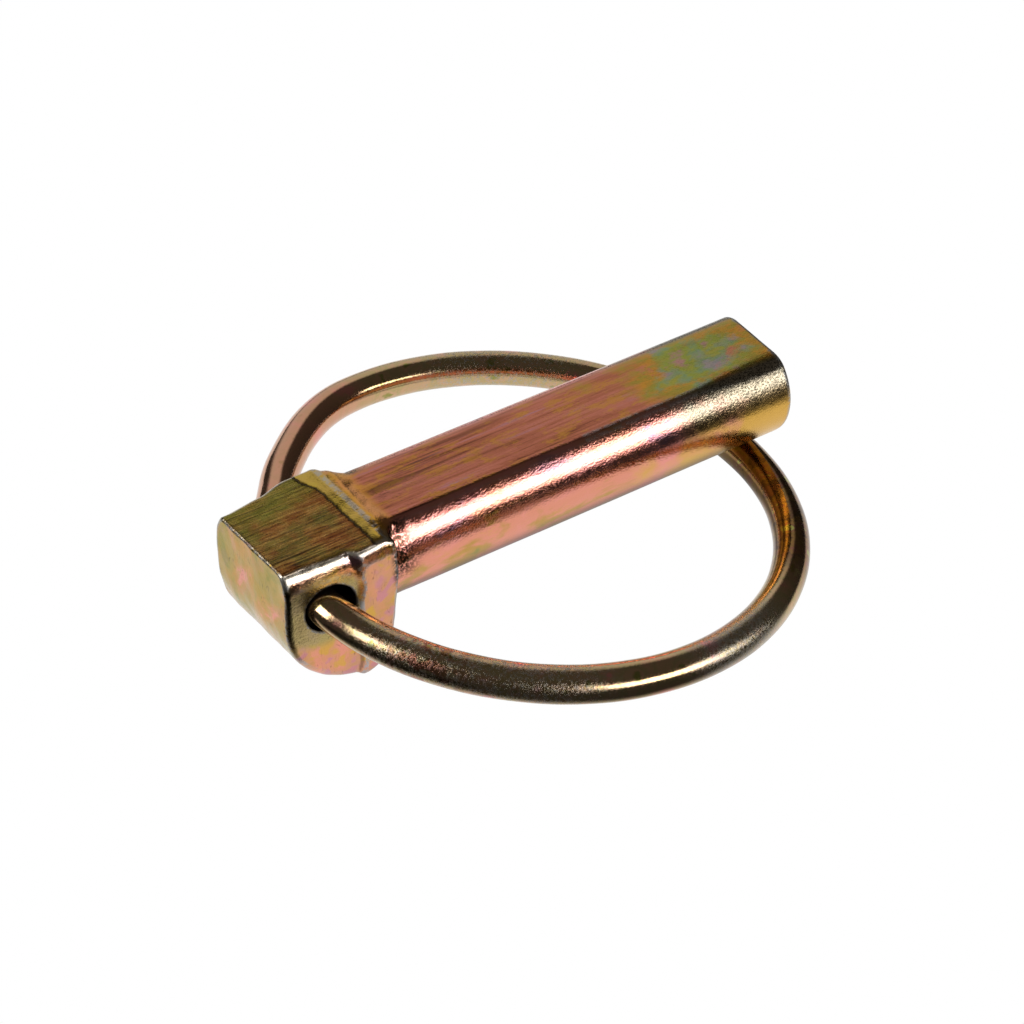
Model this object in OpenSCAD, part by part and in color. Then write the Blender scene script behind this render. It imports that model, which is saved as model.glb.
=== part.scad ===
// Linch pin: a forged steel pin whose head carries a snap ring of spring wire.
// X runs along the shank to its tip, Y runs along the cross hole, and Z is up.
// The origin is where the shank's axis meets the shoulder of the head.

/* [Shank] */
// Diameter of the round shank
shank_d = 11; // [10:0.1:11.4]
// Length of the shank, from the shoulder to the tip
shank_len = 40.4; // [34:0.1:50]
// Height of the flat along the shank's top, above its axis
flat_height = 4.1; // [3.95:0.05:4.5]
// Width of the broken edge round the tip
tip_break = 0.4; // [0.2:0.05:1]
// Radius of the hollow where the shank runs into the head
root_fillet = 1.5; // [1.2:0.05:1.8]
// How far the hollow reaches along the shank, past the shoulder
root_run = 0.7; // [0.5:0.05:1]

/* [Head] */
// Length of the head, from its outer face to the shoulder
head_len = 10.4; // [9.6:0.1:12]
// Height of the head's ground top above the flat of the shank
top_rise = 0.15; // [0.1:0.05:0.25]
// Height of the rim behind the shoulder above the flat of the shank
rim_rise = 0.4; // [0.3:0.05:0.6]
// Depth of the head's rounded belly below the shank's axis
belly_depth = 9.3; // [8.8:0.1:11]
// Radius of the belly where it turns up into the outer face
belly_r = 8; // [6.5:0.1:8.5]
// Radius of the belly where it turns up into the shoulder
heel_r = 2.5; // [1.8:0.1:3]
// How far the shoulder leans back at its heel
heel_back = 0.9; // [0.4:0.1:1.5]
// Width of the head at its outer face
nose_w = 10.5; // [9.8:0.1:11.2]
// Width of the head beside the cross hole
cheek_w = 11.4; // [11:0.1:11.8]
// How far the outer face leans back at its top
nose_lean = 0.25; // [0.1:0.05:0.5]
// How far the outer face stands to one side of the shank
nose_shift = 0.3; // [0:0.05:0.4]
// Angle by which the outer face is out of square with the shank, in degrees
head_skew = 3.8; // [0:0.1:4.5]
// Width of the bevels along the head's top
bevel_w = 0.5; // [0.3:0.05:0.7]
// Height of the bevels along the head's top
bevel_h = 0.8; // [0.5:0.05:1.1]
// Radius of the head's upper edges
edge_r = 0.45; // [0.3:0.05:0.6]
// Radius of the belly's side edges
belly_edge_r = 0.8; // [0.6:0.1:1.2]

/* [Collar] */
// Length of the thicker collar behind the shoulder, along the cheeks
collar_len = 3.8; // [3.4:0.1:4]
// Length of the rim that grinding leaves on top of the collar
rim_len = 1.8; // [1.4:0.1:2.4]
// Width of the collar at its widest
collar_w = 12.4; // [12.1:0.1:12.8]
// Width of the collar at the shoulder
shoulder_w = 12; // [11.6:0.1:12.4]
// How far the collar stands proud of the head's belly
collar_proud = 0.2; // [0.15:0.05:0.3]
// Radius of the collar's edges
collar_edge_r = 0.5; // [0.3:0.05:0.6]

/* [Cross hole] */
// Diameter of the cross hole
hole_d = 4.7; // [4.7:0.05:5]
// Distance of the cross hole behind the shoulder
hole_back = 6; // [5.9:0.05:6.4]
// Distance of the cross hole below the shank's axis
hole_drop = 0.4; // [0:0.1:1]
// Depth to which the hole's mouths are flared in the cheeks
mouth_depth = 0.3; // [0.2:0.05:0.4]

/* [Snap ring] */
// Diameter of the ring's wire
wire_d = 3.2; // [2.8:0.05:3.25]
// Distance from the tip back to where the ring crosses under the shank
ring_setback = 2.2; // [2:0.1:6]
// Half the width over which the ring bows outwards past the hole's axis
ring_crossing = 4.9; // [4.5:0.1:5.2]
// Depth to which each end of the ring reaches into the hole
ring_grip = 3.8; // [3:0.1:4.6]
// How far the ring's ends lie below the middle of the loose hole
ring_sag = 0.3; // [0:0.05:0.35]
// Sideways turn of the ring in the loose hole, in degrees
ring_skew = 3.8; // [0:0.1:4]
// Gap between the folded ring and the underside of the shank
ring_gap = 0.1; // [0.05:0.05:0.5]

/* [Hidden] */
$fn = 96;
edge_fn = 32;
past = 1;
shank_r = shank_d / 2;
wire_r = wire_d / 2;
hole_r = hole_d / 2;
top_height = flat_height + top_rise;
rim_height = flat_height + rim_rise;

// The folded ring leans down from the hole until its far side lies under the shank
ring_drop = shank_r + wire_r + ring_gap - hole_drop - ring_sag;
ring_run = hole_back + shank_len - ring_setback;
ring_reach = sqrt(pow(ring_run, 2) + pow(ring_drop, 2));
ring_lean = atan2(ring_drop, ring_run);
ring_r = (pow(ring_reach, 2) + pow(ring_crossing, 2)) / (2 * ring_reach);
ring_centre = ring_reach - ring_r;
end_angle = asin((cheek_w / 2 - ring_grip) / ring_r);

module at_hole() {
    translate([-hole_back, 0, -hole_drop]) children();
}

// Two balls that round the left and right corners of an edge across the askew head
module corner_pair(x, z, width, shift) {
    for (side = [-1, 1])
        translate([x - tan(head_skew) * side * width / 2, side * (width / 2 - edge_r) - shift, z])
            sphere(edge_r, $fn = edge_fn);
}

// Top corners with a bevel below them
module bevelled_pair(x, z, width, shift) {
    corner_pair(x, z, width - 2 * bevel_w, shift);
    corner_pair(x, z - bevel_h, width, shift);
}

// Two bent rods that round the left and right edges of the belly, closer together at the nose
module belly_rods(z) {
    middle = belly_r - head_len;
    taper = atan2((cheek_w - nose_w) / 2, head_len - collar_len);
    for (side = [-1, 1])
        translate([middle - tan(head_skew) * side * cheek_w / 2, side * (cheek_w / 2 - belly_edge_r), z])
            rotate([90, 0, side * taper + atan2(nose_shift, head_len - collar_len)])
                rotate_extrude(angle = 84, start = 180, $fn = 2 * edge_fn)
                    translate([belly_r - belly_edge_r, 0])
                        circle(belly_edge_r, $fn = edge_fn);
}

// The forged block that carries the cross hole, up to inside the collar
module head_block() {
    crown = rim_height - 0.1 - edge_r;
    hull() {
        bevelled_pair(nose_lean + edge_r - head_len, crown, nose_w, nose_shift);
        bevelled_pair(-rim_len - edge_r, crown, cheek_w, 0);
        belly_rods(belly_r + collar_proud - belly_depth);
    }
}

// Side view of the collar, which leans back to a rounded heel
module collar_side() {
    heel_x = -heel_back - heel_r;
    heel_z = heel_r - belly_depth;
    polygon([
        [-collar_len - past, rim_height],
        [0, rim_height],
        [0, 0],
        [-heel_back, heel_z],
        [heel_x, heel_z],
        [heel_x, -belly_depth],
        [-collar_len - past, -belly_depth]
    ]);
    translate([heel_x, heel_z]) circle(heel_r);
}

// View of the collar along the shank, with rounded corners
module collar_front() {
    half = collar_w / 2;
    translate([-half, belly_edge_r - belly_depth])
        square([collar_w, rim_height - collar_edge_r - belly_edge_r + belly_depth]);
    translate([collar_edge_r - half, 0]) square([collar_w - 2 * collar_edge_r, rim_height]);
    translate([belly_edge_r - half, -belly_depth]) square([collar_w - 2 * belly_edge_r, belly_depth]);
    for (side = [-1, 1]) {
        translate([side * (half - collar_edge_r), rim_height - collar_edge_r]) circle(collar_edge_r);
        translate([side * (half - belly_edge_r), belly_edge_r - belly_depth]) circle(belly_edge_r);
    }
}

// Plan of the collar, which narrows to the shoulder
module collar_plan() {
    straight = collar_edge_r - collar_len;
    polygon([
        [-collar_len, -collar_w],
        [straight, -collar_w],
        [straight, -collar_w / 2],
        [0, -shoulder_w / 2],
        [0, shoulder_w / 2],
        [straight, collar_w / 2],
        [straight, collar_w],
        [-collar_len, collar_w]
    ]);
}

// The thicker band that ends in the shoulder
module collar() {
    intersection() {
        rotate([90, 0, 0]) linear_extrude(2 * collar_w, center = true) collar_side();
        translate([-collar_len, 0, 0])
            rotate([90, 0, 90]) linear_extrude(collar_len + past) collar_front();
        translate([0, 0, -2 * belly_depth]) linear_extrude(4 * belly_depth) collar_plan();
    }
}

// What grinding takes off the head's top
module top_grind() {
    translate([-rim_len - 2 * head_len, -collar_w, top_height])
        cube([2 * head_len, 2 * collar_w, rim_height]);
}

// The cross hole, with mouths that flare out past the cheeks and the collar
module cross_hole() {
    flare = mouth_depth + (collar_w - cheek_w) / 2 + 0.4;
    at_hole() rotate([90, 0, 0]) {
        cylinder(h = 2 * collar_w, r = hole_r, center = true);
        for (side = [0, 1])
            mirror([0, 0, side])
                translate([0, 0, cheek_w / 2 - mouth_depth])
                    cylinder(h = flare, r1 = hole_r, r2 = hole_r + flare / 3);
    }
}

// Half outline of the turned shank: a bar with a broken tip and a hollow root
module shank_outline() {
    difference() {
        translate([0, -rim_len]) square([shank_r, rim_len + shank_len]);
        translate([shank_r, shank_len]) rotate(45) square(sqrt(2) * tip_break, center = true);
    }
    difference() {
        translate([0, root_run - root_fillet]) square([shank_r + root_fillet, root_fillet]);
        translate([shank_r + root_fillet, root_run]) circle(root_fillet);
    }
}

// Side view of what is cut away above the flat, with a hollow run-out at the shoulder
module flat_cut_outline() {
    translate([-head_len, flat_height]) square([head_len + root_run - root_fillet, shank_d]);
    translate([-head_len, rim_height]) square([2 * head_len, shank_d]);
    translate([root_run, flat_height]) square([shank_len + past, shank_d]);
    translate([root_run, flat_height + root_fillet]) circle(root_fillet);
}

module shank() {
    difference() {
        rotate([0, 90, 0]) rotate_extrude() shank_outline();
        rotate([90, 0, 0]) linear_extrude(2 * shank_d, center = true) flat_cut_outline();
        for (side = [0, 1])
            mirror([0, side, 0])
                translate([-head_len, shoulder_w / 2, -shank_d])
                    cube([2 * head_len, shank_d, 2 * shank_d]);
    }
}

module pin() {
    color("darkkhaki") {
        difference() {
            union() {
                head_block();
                collar();
            }
            top_grind();
            cross_hole();
        }
        shank();
    }
}

// Spring wire ring, open where its two ends sit in the cross hole
module ring() {
    color("peru")
        at_hole()
            translate([0, 0, -ring_sag])
                rotate([0, ring_lean, 0])
                    rotate([0, 0, -ring_skew])
                        translate([ring_centre, 0, 0])
                            rotate_extrude(angle = 360 - 2 * end_angle, start = 180 + end_angle)
                                translate([ring_r, 0])
                                    circle(wire_r, $fn = edge_fn);
}

pin();
ring();
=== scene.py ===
"""A forged linch pin with a spring wire ring, plated in yellow zinc, on a pale studio floor.

Lengths are written in millimetres in the part's own frame and turned into metres where a mesh is made.
The pin is meshed from a distance field and the ring is a wire swept along its bent line. Numbers stored on
the points of both meshes tell the materials where the ground top, the edges and the hollows are.
"""

import math

import bpy
import numpy as np
from mathutils import Matrix


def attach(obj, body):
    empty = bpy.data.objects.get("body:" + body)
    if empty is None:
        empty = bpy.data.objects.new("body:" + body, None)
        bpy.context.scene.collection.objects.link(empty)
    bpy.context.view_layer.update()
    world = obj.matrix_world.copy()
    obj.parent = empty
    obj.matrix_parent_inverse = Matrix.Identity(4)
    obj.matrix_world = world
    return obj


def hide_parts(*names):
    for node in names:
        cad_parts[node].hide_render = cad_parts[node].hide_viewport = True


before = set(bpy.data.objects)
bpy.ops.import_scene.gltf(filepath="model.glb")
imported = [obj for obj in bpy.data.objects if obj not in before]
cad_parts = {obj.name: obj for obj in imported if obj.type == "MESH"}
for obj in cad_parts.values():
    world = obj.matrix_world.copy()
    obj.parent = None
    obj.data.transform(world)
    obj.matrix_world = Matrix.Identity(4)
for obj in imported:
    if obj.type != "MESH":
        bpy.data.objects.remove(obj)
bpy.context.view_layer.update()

MM = 0.001

# The solids' sizes, as in part.scad
SHANK_R = 5.5
SHANK_LEN = 40.4
FLAT_Z = 4.1
HEAD_LEN = 10.4
BELLY_Z = -9.3
GROUND_Z = 4.25
RIM_Z = 4.5
COLLAR_LEN = 3.8
HOLE = (-6.0, -0.4)
HOLE_R = 2.35
WIRE_R = 1.6
RING_SAG = 0.3
RING_LEAN = 8.366
RING_SKEW = 3.8
RING_R = 22.606
RING_CENTRE = 22.070
RING_END = 4.83

# The head is forged askew: its slant across, and how far its end sits to one side
HEAD_SLANT = 0.07
HEAD_SHIFT = 0.4
# The shoulder leans back below the bar's middle
SHOULDER_LEAN = 0.132
SHOULDER_NORM = 1.0087
# The end face leans too, about this height
END_LEAN = 0.045
END_PIVOT_Z = -1.3
# Half the head's width at its end, what is added by the collar's start, and how much the cheeks bulge
NOSE_HALF = 5.30
NOSE_WIDENS = 0.42
CHEEK_BULGE = 0.08
# How far the collar stands out from the cheek, and from the belly
COLLAR_STEP = 0.38
COLLAR_DROP = 0.06
# The ground face stops this far behind the shoulder, and further towards the far cheek
RIM_LEN = 1.88
RIM_MORE = 0.75
RIM_CHANGE = (2.3, 5.0)
# Radii of the roundings
NOSE_ROUND = 8.0
HEEL_ROUND = 2.5
TOP_ROUND = 0.24
CORNER_ROUND = 0.6
BEVEL_ROUND = 0.36
TIP_ROUND = 0.45
BORE_ROUND = 0.10
# Heights of the soft lumps left by the hammer, of the finer ones, and of the drawn bar's own unevenness
HAMMERED = 0.030
DIMPLED = 0.012
DRAWN = 0.006

# The wire's domed ends
DOME_ROWS = 6
DOME_LEN = 0.5
DOME_TIP = 0.55

# A greenish island in the flat's film, as a centre and half widths along X and Y
COOL_ISLAND = ((34.4, -0.4), (4.6, 2.8))

# The floor: its half width in metres, the gap below the belly, and how bright its parts are in reflections
FLOOR_REACH = 1.5
FLOOR_GAP = 0.0001
LIT_PATCH = ((26.0, 46.0), (62.0, 72.0))
LIT_LEVEL = 0.90
ROOM_LEVEL = 0.03
DARK_SPOT = ((-23.0, -17.0), (1.0, 1.0))
DARK_EDGE = (13.0, 17.5)
DARK_LEVEL = 0.07

# How high the surface texture stands, in metres
PIN_BUMP = 0.00004
WIRE_BUMP = 0.000018

# The room's grey at the bottom, halfway and at the top
WALLS = (
    (0.0, (0.04, 0.04, 0.04, 1)),
    (0.5, (0.036, 0.034, 0.030, 1)),
    (1.0, (0.06, 0.055, 0.050, 1)),
)
# The lit panels in it: azimuth, elevation, width and height in degrees, softness of the edge, strength
PANELS = (
    (154, 14.5, 54, 21, 0.03, 4.8),
    (-76, 28, 26, 34, 0.06, 6.5),
    (27, 24, 36, 50, 0.10, 0.62),
)


# ---------------------------------------------------------------- shape maths


def smooth(edge0, edge1, x):
    """0 on edge0's side, 1 on edge1's side, with a soft step between."""
    t = np.clip((x - edge0) / (edge1 - edge0), 0, 1)
    return t * t * (3 - 2 * t)


def both(a, b, r):
    """The overlap of two distance fields, its edge rounded to radius r."""
    return np.minimum(-r, np.maximum(a, b)) + np.hypot(np.maximum(r + a, 0), np.maximum(r + b, 0))


def either(a, b, r):
    """The union of two distance fields, its inner corner filled to radius r."""
    return np.maximum(r, np.minimum(a, b)) - np.hypot(np.maximum(r - a, 0), np.maximum(r - b, 0))


def bell(x, middle, width):
    """1 at the middle, fading to nothing on both sides."""
    return np.exp(-(((x - middle) / width) ** 2))


def lumps(x, y, z, size, seed, count=14):
    """Soft bumps about size mm across, between about -1 and 1."""
    rng = np.random.default_rng(seed)
    total = np.zeros_like(x)
    for _ in range(count):
        k = rng.normal(size=3)
        k *= 2 * math.pi / size * rng.uniform(0.6, 1.6) / np.linalg.norm(k)
        total += np.sin(k[0] * x + k[1] * y + k[2] * z + rng.uniform(0, 2 * math.pi))
    return total / math.sqrt(count)


# ---------------------------------------------------------------- the forged pin


def head_axes(x, y):
    """Coordinates along and across the head, which is forged slightly askew."""
    in_head = 1 - smooth(-0.5, 4.0, x)
    return x + HEAD_SLANT * y * in_head, y + HEAD_SHIFT * np.clip(-x / HEAD_LEN, 0, 1)


def collar_part(along, across, z):
    """1 on the collar, 0 behind it: a sharp step on the near cheek, a soft swell on the far one."""
    edge = -COLLAR_LEN - 0.05 + 0.16 * np.sin(0.9 * z + 0.4) + 0.07 * np.sin(2.3 * z)
    swell = smooth(0.5, 4.5, across)
    soft = 0.10 * smooth(-1.0, 1.0, z) + 0.22 * smooth(1.5, 3.2, z)
    return smooth(-0.26 - soft - 1.5 * swell, 0.24 + soft + 0.1 * swell, along - edge)


def top_height(x, along, across):
    """The head's top: a ground face, a step, and a rim that rises to a ridge and falls to the shoulder."""
    step = smooth(-0.15, 0.15, along + (RIM_LEN + RIM_MORE * smooth(*RIM_CHANGE, across)))
    ridge = bell(along, -0.85, 0.55)
    crown = GROUND_Z - 0.002 * across**2
    return crown + step * (0.08 + 0.06 * ridge) - 0.50 * smooth(-1.0, 0.4, x)


def half_width(along, z, collar):
    """Half the head's width, with bulging cheeks and the collar's step."""
    widens = smooth(-HEAD_LEN, -COLLAR_LEN, along)
    width = NOSE_HALF + NOSE_WIDENS * widens + CHEEK_BULGE * (1 - ((z + 2.5) / 6) ** 2)
    return width + collar * (COLLAR_STEP - 0.08 * smooth(-COLLAR_LEN, 0, along))


def head_field(x, y, z):
    """The head: its outline from the side, its top, the cut corner, the cheeks and their bevels."""
    along, across = head_axes(x, y)
    collar = collar_part(along, across, z)
    front = along + 0.05
    shoulder = np.maximum(front, (front - SHOULDER_LEAN * z) / SHOULDER_NORM)
    end = -HEAD_LEN - along + END_LEAN * (z - END_PIVOT_Z)
    belly = BELLY_Z + COLLAR_DROP * (1 - collar)
    outline = both(end, belly - z, NOSE_ROUND)
    outline = np.maximum(outline, both(shoulder, BELLY_Z - z, HEEL_ROUND))
    outline = both(outline, z - top_height(x, along, across), TOP_ROUND)
    # The shoulder's far corner is cut off, less so lower down
    corner = 0.82 * x + 0.574 * y - 2.44 - 0.6 * (4.2 - z)
    outline = both(outline, corner, CORNER_ROUND)
    # The cheeks, with rounder edges towards the end face
    cheek = np.abs(across) - half_width(along, z, collar)
    outline = both(outline, cheek, 0.42 + 0.5 * smooth(-4.0, -8.0, z))
    # The bevel along each side of the top, thinner on the collar
    bevel = 0.866 * cheek + 0.5 * z - 1.54 - 0.16 * collar
    return both(outline, bevel, BEVEL_ROUND)


def shank_field(x, y, z):
    """The shank: a round bar with a flat along its top and a blunt tip."""
    bar = np.hypot(y, z) - SHANK_R + 0.02
    flat = z - FLAT_Z + 0.03
    # The flat's edge is crisp on the near side, softer on the far side and at the tip
    edge = 0.30 + 0.45 * smooth(-1.0, 2.0, y) + 0.5 * smooth(30, 39, x) * smooth(1.0, -2.0, y)
    tip = x - SHANK_LEN - 0.08 + 0.006 * z * z
    return np.maximum(both(both(bar, flat, edge), tip, TIP_ROUND), -2.0 - x)


def pin_field(x, y, z):
    """Head and shank joined and drilled, with the unevenness of the forging."""
    # The fillet between shank and head, widest at the far side's top
    root = 0.30 + 1.05 * smooth(2.9, 4.2, z) + 1.1 * smooth(1.5, 4.5, y) * smooth(1.0, 3.5, z)
    root = 0.02 + root * smooth(-1.3, 0.0, x)
    body = either(head_field(x, y, z), shank_field(x, y, z), root)
    body = np.maximum(body, z - RIM_Z)
    hole = np.hypot(x - HOLE[0], z - HOLE[1]) - HOLE_R + 0.05
    body = both(body, -hole, BORE_ROUND)
    # Forging left the head uneven, except where it was ground
    forged = 1 - smooth(1.0, 6.0, x)
    ground = smooth(4.0, 4.2, z) * (1 - smooth(-2.6, -2.2, x))
    soft = HAMMERED * lumps(x, y, z, 5.0, 3) * forged * (1 - ground)
    soft = soft + DIMPLED * lumps(x, y, z, 1.6, 5) * forged
    return body + soft + DRAWN * lumps(x * 0.25, y, z, 2.2, 8)


def slope(field, p, d=0.02):
    """The field's value and gradient at points p."""
    value = field(*p.T)
    grad = np.stack([field(*(p + d * e).T) - field(*(p - d * e).T) for e in np.eye(3)], 1) / (2 * d)
    return value, grad


def curvature(field, p, d):
    """How sharply the surface bends outwards at points p, in 1/mm; hollows are negative."""
    around = sum(field(*(p + s * d * e).T) for e in np.eye(3) for s in (-1, 1))
    return (around - 6 * field(*p.T)) / (d * d)


def cell_points(value, cells):
    """Which cells the surface crosses, and the mean of its crossings with each one's edges."""
    total = np.zeros(cells + (3,))
    hits = np.zeros(cells)

    def at(corner):
        return value[tuple(slice(o, o + n) for o, n in zip(corner, cells))]

    for c in range(8):
        a = np.array([(c >> k) & 1 for k in range(3)])
        for k in range(3):
            if a[k]:
                continue
            b = a.copy()
            b[k] = 1
            va, vb = at(a), at(b)
            crossed = (va < 0) != (vb < 0)
            t = np.where(crossed, va / np.where(crossed, va - vb, 1), 0)
            for m in range(3):
                total[..., m] += np.where(crossed, a[m] + (t if m == k else 0), 0)
            hits += crossed
    used = hits > 0
    return used, total[used] / hits[used][:, None]


def cell_faces(inside, index):
    """One quad for each grid edge that leaves the solid, through the points of the four cells round it."""
    faces = []
    for k in range(3):
        u, v = (k + 1) % 3, (k + 2) % 3
        first = [slice(None)] * 3
        second = [slice(None)] * 3
        first[k], second[k] = slice(0, -1), slice(1, None)
        a, b = inside[tuple(first)], inside[tuple(second)]
        for flip, where in ((True, a & ~b), (False, b & ~a)):
            spot = np.argwhere(where)
            quad = []
            for du, dv in ((0, 0), (1, 0), (1, 1), (0, 1)):
                cell = spot.copy()
                cell[:, u] -= du
                cell[:, v] -= dv
                quad.append(index[tuple(cell.T)])
            if flip:
                quad = [quad[0], quad[3], quad[2], quad[1]]
            faces.append(np.stack(quad[::-1], 1))
    return np.concatenate(faces)


def skin(field, low, high, pitch):
    """A quad mesh of the field's zero level: surface nets, then every point moved onto the surface."""
    counts = [int(math.ceil((h - l) / pitch)) + 1 for l, h in zip(low, high)]
    axes = [l + pitch * np.arange(n) for l, n in zip(low, counts)]
    value = field(*np.meshgrid(*axes, indexing="ij"))
    cells = tuple(n - 1 for n in counts)
    used, points = cell_points(value, cells)
    index = np.full(cells, -1)
    index[used] = np.arange(used.sum())
    points = np.array(low) + pitch * (points + np.argwhere(used))
    faces = cell_faces(value < 0, index)
    for _ in range(3):
        value, grad = slope(field, points)
        size = np.maximum((grad**2).sum(1), 0.04)
        move = grad * (value / size)[:, None]
        points -= np.clip(move, -0.5 * pitch, 0.5 * pitch)
    return points, faces.tolist()


def pin_layers(points):
    """What the pin's material reads at each point: its place on the head, and what it belongs to."""
    x, y, z = points.T
    along, across = head_axes(x, y)
    _, normal = slope(pin_field, points)
    normal /= np.linalg.norm(normal, axis=1)[:, None]
    side, up = np.abs(normal[:, 1]), normal[:, 2]
    bend = curvature(pin_field, points, 0.22)
    from_hole = (x - HOLE[0], z - HOLE[1])
    topside = smooth(4.02, 4.12, z) * (1 - smooth(-0.5, -0.1, along)) * smooth(-10.12, -9.9, along)
    # The upright corners of the end face shine on its side; on the cheeks' side they are painted dark, as
    # painted shade
    upright = smooth(0.55, 0.8, side) * (1 - smooth(-9.9, -9.3, along)) * (1 - smooth(2.6, 3.2, z))
    rim_front = smooth(3.7, 3.95, z) * smooth(-1.6, -1.2, along) * (x < 20)
    edge = smooth(0.7, 2.6, bend) * (1 - topside) * (1 - rim_front)
    # The bevels along the top, which are painted pale as a painted highlight
    bevel = smooth(0.35, 0.45, up) * (1 - smooth(0.85, 0.93, up))
    bevel = bevel * smooth(0.3, -0.3, x) * smooth(4.0, 4.6, np.abs(across))
    # Dark specks in the corner below the rim, where the shank starts
    root = smooth(-0.5, 0.1, x) * (1 - smooth(1.2, 3.2, x))
    root = root * (1 - smooth(3.85, 4.05, z)) * smooth(-1.5, 0.5, z)
    # Painted shade in hollows and creases, where the surface bends inwards
    crease_shade = smooth(-0.6, -3.0, bend) * (1 - topside)
    crease_shade = crease_shade * (1 - 0.8 * smooth(-1.0, 1.0, z) * smooth(-1.5, -3.0, x))
    # Dirt rubbed round the hole on the near cheek
    cheek = smooth(4.9, 5.3, -across) * smooth(-11.0, -10.0, along) * (1 - smooth(0.4, 0.8, up))
    reach = np.hypot(from_hole[0] + 0.8, from_hole[1] * 1.15)
    return {
        "along": along,
        "across": across,
        "topside": topside,
        "edge": edge * (1 - upright),
        "bevel": bevel,
        "root": root,
        "crease_shade": np.maximum(crease_shade, 1.3 * upright * smooth(0.4, 1.2, bend)),
        "smudge": cheek * (1 - smooth(3.4, 4.8, reach)) * (1 - smooth(-4.0, -3.6, along)),
        "flat": smooth(0.93, 0.985, up) * smooth(0.3, 1.0, x),
        "bore": 1 - smooth(0.0, 0.12, np.hypot(*from_hole) - HOLE_R),
        "hollow": (1 - smooth(0.35, 1.5, np.abs(x - 0.25))) * smooth(3.6, 4.1, z),
    }


# ---------------------------------------------------------------- the wire ring


def ring_line(t):
    """The wire's middle line at t from 0 to 1 round a lying ring, and the angle there."""
    start = math.radians(180 + RING_END)
    turn = math.radians(360 - 2 * RING_END)
    angle = start + turn * t
    # Bent by hand tools, it is flatter in one place, wanders a little, and turns out at the near end
    far = np.degrees(angle) % 360
    radial = -0.95 * smooth(108, 140, far) * (1 - smooth(150, 172, far)) * (far < 175)
    radial += 0.05 * np.sin(3 * angle + 0.6) * np.sin(math.pi * t)
    mouth = bell(t, 0.03, 0.018)
    radial += 0.42 * mouth
    radius = RING_R + radial
    line = np.stack([RING_CENTRE + radius * np.cos(angle), radius * np.sin(angle), 0.5 * mouth], 1)
    return line, angle


def dome(end, outward, radius):
    """Middles and radii of the rows that close the wire, from the dome's blunt tip inwards."""
    angles = [math.pi / 2 * k / DOME_ROWS for k in range(DOME_ROWS)]
    return [
        (end + outward * DOME_LEN * math.cos(a), radius * (DOME_TIP + (1 - DOME_TIP) * math.sin(a)))
        for a in angles
    ]


def tube_faces(rows, sides):
    """Quads between neighbouring rows of points, then a fan of triangles closing each end."""
    faces = []
    for i in range(rows - 1):
        for j in range(sides):
            k = (j + 1) % sides
            faces.append((i * sides + j, (i + 1) * sides + j, (i + 1) * sides + k, i * sides + k))
    last = (rows - 1) * sides
    for j in range(sides):
        k = (j + 1) % sides
        faces.append((rows * sides, j, k))
        faces.append((rows * sides + 1, last + k, last + j))
    return faces


def ring_mesh(rounds, sides):
    """The open ring of round wire with domed ends, and how far round the wire each of its points lies."""
    centre, angle = ring_line(np.linspace(0, 1, rounds))
    tangent = np.gradient(centre, axis=0)
    tangent /= np.linalg.norm(tangent, axis=1)[:, None]
    wire = WIRE_R - 0.01 + 0.012 * np.sin(17 * angle) * np.sin(7 * angle + 1)
    start = [(c, tangent[0], w) for c, w in dome(centre[0], -tangent[0], wire[0])]
    finish = [(c, tangent[-1], w) for c, w in dome(centre[-1], tangent[-1], wire[-1])]
    rows = start + list(zip(centre, tangent, wire)) + finish[::-1]
    phi = np.linspace(0, 2 * math.pi, sides, endpoint=False)
    upright = np.array([0, 0, 1])
    points = []
    for middle, ahead, radius in rows:
        across = np.cross(ahead, upright)
        points.append(middle + radius * (np.cos(phi)[:, None] * across + np.sin(phi)[:, None] * upright))
    points = np.concatenate(points + [np.array([rows[0][0], rows[-1][0]])])
    # From lying flat about the hole to leaning up over the shank
    skew, lean = math.radians(-RING_SKEW), math.radians(RING_LEAN)
    turn_z = np.array([[math.cos(skew), -math.sin(skew), 0], [math.sin(skew), math.cos(skew), 0], [0, 0, 1]])
    turn_y = np.array([[math.cos(lean), 0, math.sin(lean)], [0, 1, 0], [-math.sin(lean), 0, math.cos(lean)]])
    points = points @ turn_z.T @ turn_y.T + np.array([HOLE[0], 0, HOLE[1] - RING_SAG])
    turn = np.append(np.repeat(np.linspace(0, 1, len(rows)), sides), (0, 1))
    return points, tube_faces(len(rows), sides), turn


# ---------------------------------------------------------------- the two pieces


def mesh_object(name, points, faces, body):
    """A smooth mesh piece that rides on a body."""
    mesh = bpy.data.meshes.new(name)
    mesh.from_pydata((points * MM).tolist(), [], faces)
    mesh.update()
    mesh.polygons.foreach_set("use_smooth", np.ones(len(mesh.polygons), bool))
    piece = bpy.data.objects.new(name, mesh)
    bpy.context.scene.collection.objects.link(piece)
    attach(piece, body)
    return piece


def paint(piece, name, values):
    """Stores one number for each point of the mesh, which the materials read by name."""
    layer = piece.data.attributes.new(name, "FLOAT", "POINT")
    layer.data.foreach_set("value", np.asarray(values, np.float32))


PIN_BOX = ((-11.0, -6.9, -9.9), (41.0, 6.9, 5.1))
PITCH = 0.17
RING_ROUNDS = 420
RING_SIDES = 48

points, faces = skin(pin_field, *PIN_BOX, PITCH)
pin = mesh_object("forged_pin", points, faces, "pin")
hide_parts("pin")
for name, values in pin_layers(points).items():
    paint(pin, name, values)

points, faces, turn = ring_mesh(RING_ROUNDS, RING_SIDES)
ring = mesh_object("wire_ring", points, faces, "ring")
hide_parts("ring")
paint(ring, "turn", turn)


# ---------------------------------------------------------------- materials


def colour(r, g, b):
    """A display colour, 0 to 255, as linear light."""
    linear = [c / 255 / 12.92 if c <= 10 else ((c / 255 + 0.055) / 1.055) ** 2.4 for c in (r, g, b)]
    return (*linear, 1)


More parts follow.
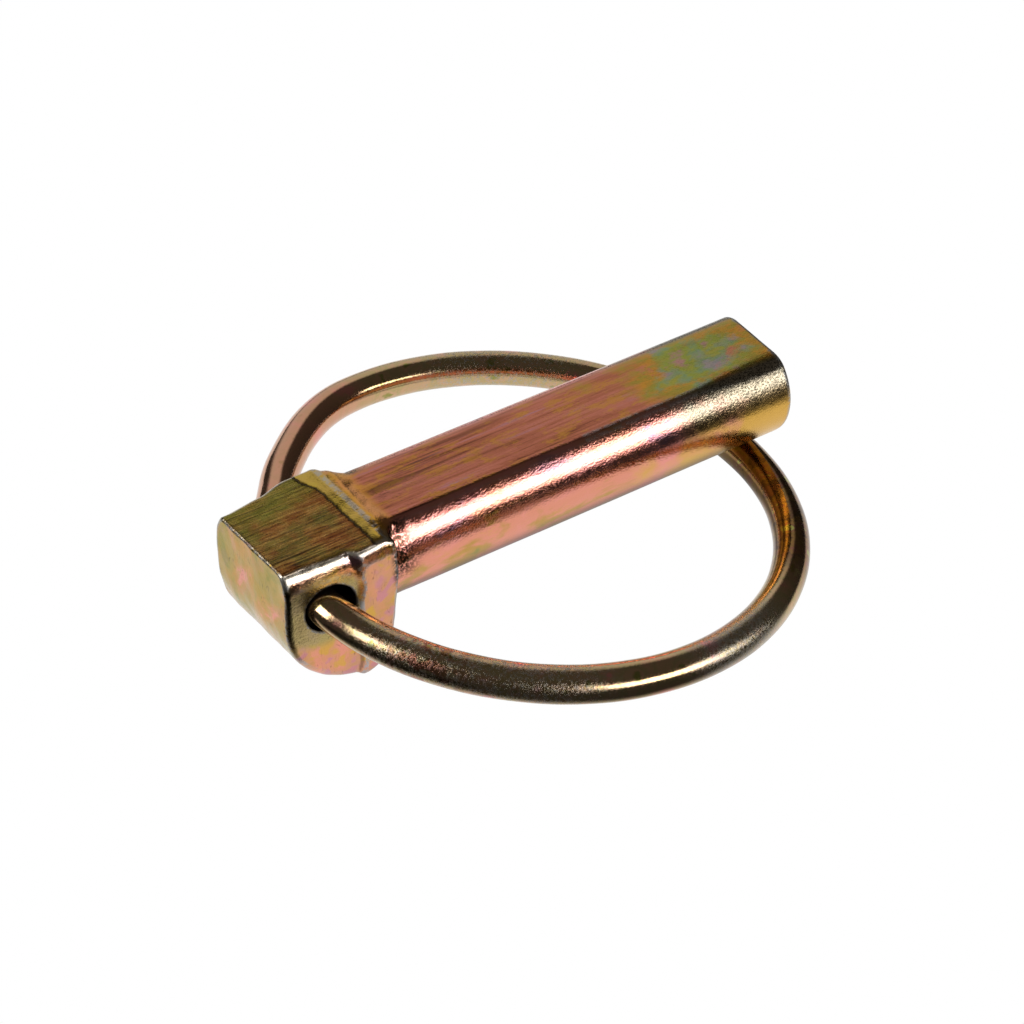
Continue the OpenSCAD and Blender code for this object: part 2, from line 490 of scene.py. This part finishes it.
# The plating film
PINK = colour(236, 154, 142)
SALMON = colour(230, 152, 126)
SAND = colour(194, 152, 80)
GOLD = colour(214, 170, 60)
OLIVE = colour(150, 146, 72)
BLUE = colour(128, 144, 160)
MAUVE = colour(176, 128, 142)
LILAC = colour(206, 136, 150)
COPPER = colour(176, 104, 78)
ROSE = colour(194, 118, 96)
BROWN = colour(124, 68, 46)
OCHRE = colour(196, 138, 52)
DRAB = colour(160, 140, 56)
TEAL = colour(110, 156, 124)
MOSS = colour(140, 160, 70)
KHAKI = colour(176, 154, 78)
TAN = colour(206, 168, 128)
DUN = colour(190, 168, 118)
ASH = colour(150, 147, 126)
YELLOW = colour(228, 178, 62)
# The ground top, its rim, and the hollow and the smudge beside it
UMBER = colour(60, 34, 12)
HAZEL = colour(140, 90, 38)
BRONZE = colour(184, 126, 58)
STRAW = colour(220, 172, 92)
RUST = colour(176, 104, 50)
FERN = colour(134, 152, 66)
RUSSET = colour(164, 84, 34)
MUSTARD = colour(148, 146, 46)
SCORE = colour(70, 40, 10)
GLINT = colour(226, 176, 92)
BRASS = colour(196, 168, 70)
AMBER = colour(216, 150, 56)
SMUDGE = colour(172, 158, 104)
# The wire's mottled bend, darkened as painted shade
MAROON = colour(104, 58, 42)
COFFEE = colour(74, 46, 24)
BUFF = colour(124, 90, 34)
PLUM = colour(118, 70, 54)
CORAL = colour(214, 146, 122)
RED = colour(150, 40, 30)
# Wear and grime, with a pale painted highlight and painted shade
ZINC = colour(172, 176, 180)
HIGHLIGHT_PALE = colour(236, 226, 208)
SOOT_AND_SHADE = colour(40, 30, 18)
DARK_SPECK = colour(34, 32, 14)
PIT = colour(38, 34, 24)


class Graph:
    """Short ways to add shader nodes to a material or to the world."""

    def __init__(self, owner):
        self.owner = owner
        owner.use_nodes = True
        self.tree = owner.node_tree
        self.tree.nodes.clear()

    def node(self, kind, inputs=(), **settings):
        """A new node; each input is another node's output or a plain value."""
        n = self.tree.nodes.new("ShaderNode" + kind)
        for key, value in settings.items():
            setattr(n, key, value)
        for key, value in dict(inputs).items():
            if isinstance(value, bpy.types.NodeSocket):
                self.tree.links.new(value, n.inputs[key])
            else:
                n.inputs[key].default_value = value
        return n

    def math(self, op, *values):
        return self.node("Math", dict(enumerate(values)), operation=op).outputs[0]

    def fold(self, op, first, *rest):
        """One operation carried through all the values."""
        for value in rest:
            first = self.math(op, first, value)
        return first

    def times(self, *values):
        return self.fold("MULTIPLY", *values)

    def plus(self, *values):
        return self.fold("ADD", *values)

    def most(self, *values):
        return self.fold("MAXIMUM", *values)

    def linear(self, value, by, start):
        """value times by, plus start."""
        return self.math("MULTIPLY_ADD", value, by, start)

    def absolute(self, value):
        """value without its sign."""
        return self.math("ABSOLUTE", value)

    def rest(self, value):
        """What is left of 1."""
        return self.math("SUBTRACT", 1.0, value)

    def ellipse(self, x, y, centre, half):
        """How far a place is from centre, counted in half widths along X and Y."""
        east = self.linear(x, 1 / half[0], -centre[0] / half[0])
        north = self.linear(y, 1 / half[1], -centre[1] / half[1])
        return self.math("SQRT", self.plus(self.times(east, east), self.times(north, north)))

    def step(self, value, low, high, to_low=0.0, to_high=1.0):
        """A soft step from to_low, at low, to to_high, at high."""
        inputs = {"Value": value, "From Min": low, "From Max": high, "To Min": to_low, "To Max": to_high}
        return self.node("MapRange", inputs, interpolation_type="SMOOTHSTEP").outputs[0]

    def mix(self, factor, a, b, blend="MIX"):
        return self.node("Mix", {0: factor, 6: a, 7: b}, data_type="RGBA", blend_type=blend).outputs[2]

    def over(self, under, shade, *masks):
        """shade laid over under, as far as the masks let it show together."""
        return self.mix(self.times(*masks), under, shade)

    def ramp(self, value, stops):
        """Colours that blend softly from stop to stop as value rises."""
        n = self.node("ValToRGB", {"Fac": value})
        band = n.color_ramp
        band.interpolation = "EASE"
        while len(band.elements) < len(stops):
            band.elements.new(0.5)
        for element, (place, shade) in zip(band.elements, stops):
            element.position = place
            element.color = shade
        return n.outputs[0]


class Paint(Graph):
    """A material whose textures lie in the piece's own frame, in millimetres."""

    def __init__(self, name):
        super().__init__(bpy.data.materials.new(name))
        place = self.node("TexCoord").outputs["Object"]
        self.where = self.node("Mapping", {"Vector": place, "Scale": (1000, 1000, 1000)}).outputs[0]

    def axes(self):
        return self.node("SeparateXYZ", {0: self.where}).outputs

    def layer(self, name):
        """A number stored on the mesh by paint()."""
        return self.node("Attribute", attribute_name=name).outputs["Fac"]

    def noise(self, scale, detail, rough, warp=0.0, stretch=(1, 1, 1), shift=0.0):
        """Noise of scale features per millimetre, times stretch on each axis; shift makes it another one."""
        where = self.where
        if shift or stretch != (1, 1, 1):
            moved = {"Vector": where, "Scale": stretch, "Location": (shift, shift * 0.7, shift * 1.3)}
            where = self.node("Mapping", moved).outputs[0]
        inputs = {"Vector": where, "Scale": scale, "Detail": detail, "Roughness": rough, "Distortion": warp}
        return self.node("TexNoise", inputs).outputs["Fac"]

    def finish(self, shade, roughness, height, distance, metallic=1.0):
        """The material as a metal of this shade, with its texture standing up to distance, in metres."""
        bump = self.node("Bump", {"Height": height, "Distance": distance, "Strength": 1.0}).outputs[0]
        inputs = {"Base Color": shade, "Metallic": metallic, "Roughness": roughness, "Normal": bump}
        self.node("OutputMaterial", {"Surface": self.node("BsdfPrincipled", inputs).outputs[0]})
        return self.owner


class PinPaint(Paint):
    """The pin's plating film, its ground top, and the wear and grime over both."""

    def __init__(self):
        super().__init__("zinc_forged")
        self.x, self.y, self.z = self.axes()
        self.along = self.layer("along")
        self.across = self.layer("across")
        self.topside = self.layer("topside")
        self.on_flat = self.layer("flat")
        self.edge = self.layer("edge")
        self.smudge = self.layer("smudge")
        self.on_head = self.step(self.along, 0.3, -0.3)
        self.fine = self.noise(2.6, 3.0, 0.6, 0.0, (0.7, 1, 1))
        self.grain = self.noise(6.0, 2.0, 0.6)
        # Towards the tip, by a wandering measure in millimetres
        self.tipward = self.plus(self.x, self.linear(self.noise(0.22, 3.0, 0.6), 26.0, -13.0))
        # Behind the ragged step where grinding stopped this is below 0, on the rim above
        wiggle = self.noise(1.6, 4.0, 0.7, 0.0, (1, 1, 0.2), 6.0)
        stop = self.plus(self.along, self.step(self.across, *RIM_CHANGE, RIM_LEN, RIM_LEN + RIM_MORE))
        stop = self.plus(stop, self.linear(wiggle, 0.5, -0.25))
        self.ground = self.times(self.topside, self.step(stop, 0.05, -0.05))
        self.rim = self.times(self.topside, self.step(stop, -0.05, 0.05))
        # A painted shadow along the step
        self.step_shadow = self.times(self.topside, self.step(self.absolute(stop), 0.14, 0.04))
        self.brush = self.noise(1.3, 6.0, 0.8, 0.1, (0.22, 3.2, 1.0), 2.0)
        self.scores = self.noise(1.5, 3.0, 0.7, 0.0, (0.10, 5.5, 1.0), 12.0)

    def film(self):
        """A rainbow of pink and salmon, with traces of gold, olive and mauve."""
        wide = self.noise(0.2, 4.0, 0.6, 0.3, (0.6, 1, 1), 3.0)
        shade = self.ramp(wide, [(0.30, MAUVE), (0.40, PINK), (0.56, SALMON), (0.67, SAND), (0.76, OLIVE)])
        small = self.noise(1.1, 4.0, 0.7, 0.2, (0.5, 1, 1), 10.0)
        shade = self.over(shade, GOLD, self.step(small, 0.52, 0.74, 0.0, 0.25))
        # The head is sandier than the shank, and its end face more so
        sand = self.noise(0.34, 4.0, 0.6, 0.5, (1, 1, 0.7), 13.0)
        sandy = self.ramp(sand, [(0.32, SALMON), (0.42, SAND), (0.54, KHAKI), (0.66, OLIVE)])
        shade = self.over(shade, sandy, self.on_head, 0.4)
        shade = self.over(shade, sandy, self.step(self.along, -9.3, -10.1, 0.0, 0.9))
        # Towards the tip it turns grey on top, and golden low down and on the end
        low = self.most(self.step(self.z, 2.6, 0.6), self.step(self.x, 40.1, 40.35))
        tip = self.over(ASH, YELLOW, low, 0.85)
        shade = self.over(shade, tip, self.step(self.tipward, 24.0, 34.0, 0.0, 0.92))
        # Small gold and lilac islands on the head, few on its end face
        island = self.noise(0.45, 2.0, 0.5, 0.4, shift=17.0)
        cheeks = self.times(self.on_head, self.step(self.along, -10.1, -9.6, 0.15, 1.0))
        shade = self.over(shade, GOLD, cheeks, self.step(island, 0.54, 0.62, 0.0, 0.7))
        return self.over(shade, LILAC, cheeks, self.step(island, 0.46, 0.38, 0.0, 0.7))

    def rolled_flat(self):
        """The shank's flat: copper with rolled streaks, then gold, with one cool island near the tip."""
        streaks = self.noise(1.0, 4.0, 0.65, 0.3, (0.10, 2.2, 1.0), 1.0)
        copper = self.ramp(streaks, [(0.30, BROWN), (0.44, COPPER), (0.58, ROSE), (0.74, MAUVE)])
        flecks = self.noise(0.9, 5.0, 0.75, 0.0, (0.4, 1.0, 1.0), 4.0)
        copper = self.over(copper, OCHRE, self.step(flecks, 0.48, 0.62, 0.0, 0.65))
        warm = self.over(OCHRE, DRAB, self.step(flecks, 0.38, 0.6))
        patches = self.noise(0.34, 4.0, 0.65, 0.3, (0.8, 1.0, 1.0), 9.0)
        warm = self.over(warm, ROSE, self.step(patches, 0.58, 0.68, 0.0, 0.8))
        shade = self.over(copper, warm, self.step(self.tipward, 22.0, 32.0))
        hue = self.noise(0.5, 3.0, 0.6, 0.0, (0.8, 1.0, 1.0), 31.0)
        cool = self.ramp(hue, [(0.34, BLUE), (0.43, TEAL), (0.56, MOSS), (0.72, MAUVE)])
        far = self.plus(self.ellipse(self.x, self.y, *COOL_ISLAND), self.linear(patches, 3.0, -1.5))
        shade = self.over(shade, cool, self.step(far, 1.30, 0.75, 0.0, 0.66))
        # Dirt in streaks on the far side of the half next to the head
        dark = self.noise(1.0, 3.0, 0.6, 0.0, (0.05, 1.1, 1.0), 5.0)
        near_head = self.times(self.step(self.x, 19.0, 4.0), self.step(self.y, -2.0, 2.0))
        return self.over(shade, SOOT_AND_SHADE, near_head, self.step(dark, 0.44, 0.56), 0.8)

    def brushed_top(self):
        """The ground face: brushed along in browns, stained green and rust, and scored."""
        browns = [(0.38, UMBER), (0.44, HAZEL), (0.52, BRONZE), (0.60, STRAW), (0.68, RUST)]
        shade = self.ramp(self.brush, browns)
        stain = self.noise(0.28, 3.0, 0.6)
        shade = self.over(shade, FERN, self.step(stain, 0.48, 0.62, 0.0, 0.4))
        shade = self.over(shade, RUSSET, self.step(stain, 0.52, 0.36, 0.0, 0.6))
        green = self.plus(self.linear(stain, 8.0, -4.0), self.across)
        shade = self.over(shade, MUSTARD, self.step(green, 0.0, 3.5, 0.0, 0.6))
        shade = self.over(shade, SCORE, self.step(self.scores, 0.54, 0.62, 0.0, 0.75))
        # Painted glints along some scratches
        return self.over(shade, GLINT, self.step(self.scores, 0.44, 0.36, 0.0, 0.55))

    def worn(self, shade):
        """Rubbed edges show grey zinc and the bevels a pale painted highlight; the corner under the rim has
        dark specks, cracks and pits are dark, and hollows, creases, the ground step and the hole get painted
        shade.
        """
        ridge = self.times(self.topside, self.step(self.absolute(self.plus(self.along, 0.75)), 0.4, 0.1))
        edges = self.most(self.edge, self.times(ridge, 0.7))
        shade = self.over(shade, ZINC, edges, self.step(self.fine, 0.34, 0.52), 0.8)
        # Painted highlight: the bevels are painted pale so that they shine white
        shade = self.over(shade, HIGHLIGHT_PALE, self.layer("bevel"), 0.8)
        dark_specks = self.step(self.noise(4.0, 3.0, 0.7), 0.38, 0.54)
        shade = self.over(shade, DARK_SPECK, self.layer("root"), dark_specks, 0.95)
        # Fine cracks in the film of the head
        crack = self.plus(self.noise(0.9, 2.0, 0.5, 0.0, (2.4, 2.4, 0.4), 23.0), -0.5)
        crack = self.step(self.absolute(crack), 0.016, 0.004)
        cracked = self.step(self.noise(0.7, 2.0, 0.55, shift=41.0), 0.56, 0.62)
        shade = self.over(shade, SOOT_AND_SHADE, crack, cracked, self.on_head, self.rest(self.topside), 0.5)
        # Dark pits in the highlight near the tip
        pits = self.step(self.noise(6.5, 2.0, 0.7), 0.47, 0.58)
        tipmost = self.times(self.step(self.x, 25.0, 35.0), self.step(self.x, 40.35, 40.1))
        above = self.times(self.step(self.z, 0.6, 2.0), self.rest(self.on_flat))
        shade = self.over(shade, PIT, pits, tipmost, above, 0.8)
        # Painted shade in hollows and creases, a painted shadow along the ground step, and the hole's inside
        # painted dark as shade
        painted_shade = self.most(self.times(self.layer("crease_shade"), 0.6), self.step_shadow, self.layer("bore"))
        return self.over(shade, SOOT_AND_SHADE, painted_shade, 0.85)

    def material(self):
        """Film, flat and ground top laid over each other, then the wear; lightly scratched and grained."""
        shade = self.over(self.film(), self.rolled_flat(), self.on_flat)
        shade = self.over(shade, self.brushed_top(), self.ground)
        shade = self.over(shade, BRASS, self.rim, 0.85)
        shade = self.over(shade, AMBER, self.layer("hollow"), 0.7)
        shade = self.over(shade, SMUDGE, self.smudge, 0.85)
        rough = self.plus(
            self.step(self.fine, 0.3, 0.7, 0.08, 0.17),
            self.step(self.x, 26.0, 38.0, 0.0, 0.12),
            self.times(self.edge, 0.22),
            self.times(self.ground, 0.16),
            self.times(self.smudge, 0.14),
        )
        height = self.plus(
            self.times(self.fine, 0.30),
            self.times(self.grain, 0.45),
            self.times(self.grain, self.smudge, 0.6),
            self.times(self.plus(self.brush, self.scores), self.ground),
        )
        return self.finish(self.worn(shade), rough, height, PIN_BUMP)


def ring_material():
    """The same plating on drawn wire, worn by rubbing against the pin."""
    g = Paint("zinc_wire")
    turn = g.layer("turn")

    def band(low, high, soft=0.03):
        """1 between two places round the wire."""
        return g.times(g.step(turn, low - soft, low + soft), g.step(turn, high + soft, high - soft))

    film = g.noise(0.30, 4.0, 0.6, 0.3, shift=21.0)
    hues = [(0.32, PINK), (0.42, TAN), (0.52, DUN), (0.60, TAN), (0.68, OLIVE), (0.76, PINK)]
    shade = g.ramp(film, hues)
    # Mottled brown, yellow and rose where the wire turns back beside the tip, its own film colours kept dark
    # as painted shade
    mottle = g.noise(0.45, 4.0, 0.65, shift=5.0)
    mottled_and_shaded = g.ramp(mottle, [(0.34, MAROON), (0.42, COFFEE), (0.50, BUFF), (0.58, PLUM), (0.66, OLIVE)])
    shade = g.over(shade, mottled_and_shaded, band(0.37, 0.52), 0.9)
    # Pinker where it comes round to the far end
    shade = g.over(shade, CORAL, band(0.80, 1.02), 0.6)
    # Grey where it is rubbed: flecks along the near arm, one patch at the bend, scratches behind
    speck = g.noise(4.0, 4.0, 0.8)
    flecks = g.times(band(0.07, 0.21), g.step(speck, 0.44, 0.62))
    patch = g.times(band(0.265, 0.335, 0.02), g.step(speck, 0.30, 0.60))
    scratch = g.times(band(0.64, 0.74), g.step(speck, 0.48, 0.62))
    worn = g.most(flecks, patch, scratch)
    shade = g.over(shade, ZINC, worn, 0.6)
    # A trace of red among the flecks
    shade = g.over(shade, RED, band(0.09, 0.13, 0.02), g.step(g.noise(0.9, 3.0, 0.6), 0.50, 0.58), 0.6)
    fine = g.noise(6.0, 2.0, 0.6)
    rough = g.plus(g.step(fine, 0.3, 0.7, 0.08, 0.16), g.times(worn, 0.22))
    height = g.plus(g.times(fine, 0.3), g.times(worn, speck, 0.5))
    return g.finish(shade, rough, height, WIRE_BUMP, 0.98)


pin.data.materials.append(PinPaint().material())
ring.data.materials.append(ring_material())


# ---------------------------------------------------------------- floor, light and camera


def floor_material():
    """White to the eye; what the plating mirrors is a lit patch round the part and a dark room beyond it."""
    g = Paint("pale_floor")
    x, y, _ = g.axes()
    lit = g.step(g.ellipse(x, y, *LIT_PATCH), 1.06, 0.96, ROOM_LEVEL, LIT_LEVEL)
    # Dark towards the corner where the camera stands
    lit = g.times(lit, g.step(g.ellipse(x, y, *DARK_SPOT), *DARK_EDGE, DARK_LEVEL, 1.0))
    # Dim right under the shank
    under = g.times(g.step(g.absolute(y), 8.0, 2.0), g.step(x, -8.0, -2.0), g.step(x, 42.0, 38.0))
    lit = g.times(lit, g.linear(under, -0.6, 1.0))
    seen = g.node("LightPath").outputs["Is Camera Ray"]
    glow = g.node("Emission", {"Color": (1, 1, 1, 1), "Strength": g.most(lit, seen)})
    g.node("OutputMaterial", {"Surface": glow.outputs[0]})
    return g.owner


floor_mesh = bpy.data.meshes.new("floor")
low = BELLY_Z * MM - FLOOR_GAP
square = ((-1, -1), (1, -1), (1, 1), (-1, 1))
floor_mesh.from_pydata([(a * FLOOR_REACH, b * FLOOR_REACH, low) for a, b in square], [], [(0, 1, 2, 3)])
floor = bpy.data.objects.new("floor", floor_mesh)
bpy.context.scene.collection.objects.link(floor)
floor_mesh.materials.append(floor_material())


def softbox(g, direction, azimuth, elevation, width, height, blur):
    """1 inside a rectangular panel seen from the object, 0 outside, with soft edges."""
    az, el = math.radians(azimuth), math.radians(elevation)
    ahead = (math.sin(az) * math.cos(el), math.cos(az) * math.cos(el), math.sin(el))
    right = (math.cos(az), -math.sin(az), 0.0)
    up = (-math.sin(az) * math.sin(el), -math.cos(az) * math.sin(el), math.cos(el))

    def dot(axis):
        return g.node("VectorMath", {0: direction, 1: axis}, operation="DOT_PRODUCT").outputs["Value"]

    depth = dot(ahead)
    safe = g.most(depth, 0.001)
    u = g.absolute(g.math("DIVIDE", dot(right), safe))
    v = g.absolute(g.math("DIVIDE", dot(up), safe))
    w, h = math.tan(math.radians(width / 2)), math.tan(math.radians(height / 2))
    return g.times(g.step(u, w + blur, w - blur), g.step(v, h + blur, h - blur), g.step(depth, 0.0, 0.05))


def studio():
    """A dark room with lit panels in it, white to the eye."""
    g = Graph(bpy.data.worlds.new("studio"))
    direction = g.node("TexCoord").outputs["Generated"]
    height = g.node("SeparateXYZ", {0: direction}).outputs[2]
    room = g.ramp(g.linear(height, 0.5, 0.5), WALLS)
    light = g.plus(*(g.times(softbox(g, direction, *panel), strength) for *panel, strength in PANELS))
    glow = g.node("CombineColor", {0: light, 1: light, 2: light}).outputs[0]
    shade = g.mix(1.0, room, glow, "ADD")
    shade = g.mix(g.node("LightPath").outputs["Is Camera Ray"], shade, (1, 1, 1, 1))
    background = g.node("Background", {"Color": shade, "Strength": 1.0})
    g.node("OutputWorld", {"Surface": background.outputs[0]})
    return g.owner


bpy.context.scene.world = studio()
bpy.context.scene.view_settings.view_transform = "Standard"

top = bpy.data.lights.new("overhead", "AREA")
top.energy = 0.9
top.size = 0.5
top_object = bpy.data.objects.new("overhead", top)
top_object.location = (0.1, 0.2, 0.5)
bpy.context.scene.collection.objects.link(top_object)
top_object.visible_glossy = False

# The camera looks down on the head from the front left. A point on the X axis, at PIVOT_X, lies DISTANCE
# in front of it and is seen at the pixel AIM
AZIMUTH, ELEVATION, ROLL = (math.radians(a) for a in (31.53, 40.57, 1.37))
PICTURE = 1024
SENSOR = 36
FOCAL = 2853.28 / PICTURE
DISTANCE = 235.92
AIM = (357.50, 538.43)
PIVOT_X = -0.14

sin_a, cos_a = math.sin(AZIMUTH), math.cos(AZIMUTH)
sin_e, cos_e = math.sin(ELEVATION), math.cos(ELEVATION)
ahead = np.array([cos_e * sin_a, cos_e * cos_a, -sin_e])
right = np.array([cos_a, -sin_a, 0])
down = -np.array([sin_e * sin_a, sin_e * cos_a, cos_e])
right, down = math.cos(ROLL) * right + math.sin(ROLL) * down, math.cos(ROLL) * down - math.sin(ROLL) * right
offset = [(a - PICTURE / 2) / PICTURE / FOCAL for a in AIM]
eye = -DISTANCE * (right * offset[0] + down * offset[1] + ahead) + np.array([PIVOT_X, 0, 0])

camera_data = bpy.data.cameras.new("camera")
camera_data.sensor_width = SENSOR
camera_data.lens = SENSOR * FOCAL
camera_data.clip_start = 0.01
camera_data.clip_end = 10
camera = bpy.data.objects.new("camera", camera_data)
camera.matrix_world = Matrix([*zip(right, -down, -ahead, eye * MM), (0, 0, 0, 1)])
bpy.context.scene.collection.objects.link(camera)
bpy.context.scene.camera = camera
